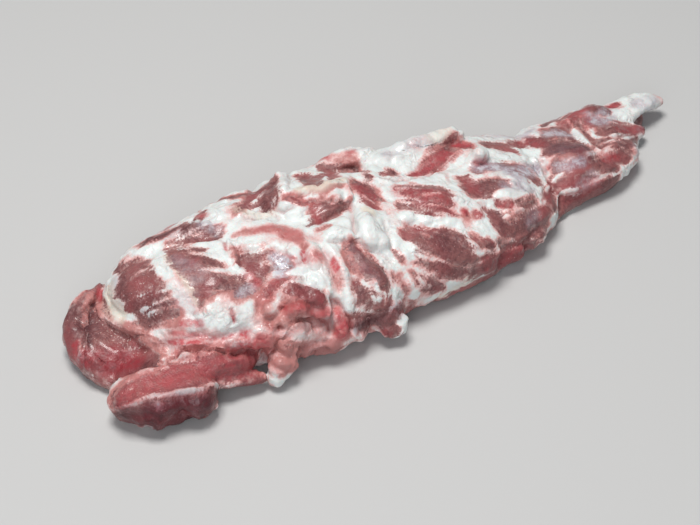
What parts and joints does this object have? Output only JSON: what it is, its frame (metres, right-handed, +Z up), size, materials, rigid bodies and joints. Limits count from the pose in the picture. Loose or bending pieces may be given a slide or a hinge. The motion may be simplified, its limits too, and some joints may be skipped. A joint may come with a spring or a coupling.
{
  "type": "pork pluma",
  "caption": "Raw, untrimmed feather-shaped cut of pork: a thick blunt end with folded flaps of lean meat, drawn out to a thin tail, with seams, rolls and tags of fat.",
  "frame": {"origin": "middle of the bounding box at the flat underside", "axes": "+X along the length, from the thick blunt end to the thin tail; +Y across, to the side with the roll of white fat; +Z up"},
  "size_m": [0.3212, 0.1028, 0.0404],
  "materials": {
    "raw_pork": "moist raw pork, lean muscle under white fat and silverskin"
  },
  "bodies": {
    "root": {"pork_pluma": "raw_pork"}
  },
  "joints": []
}
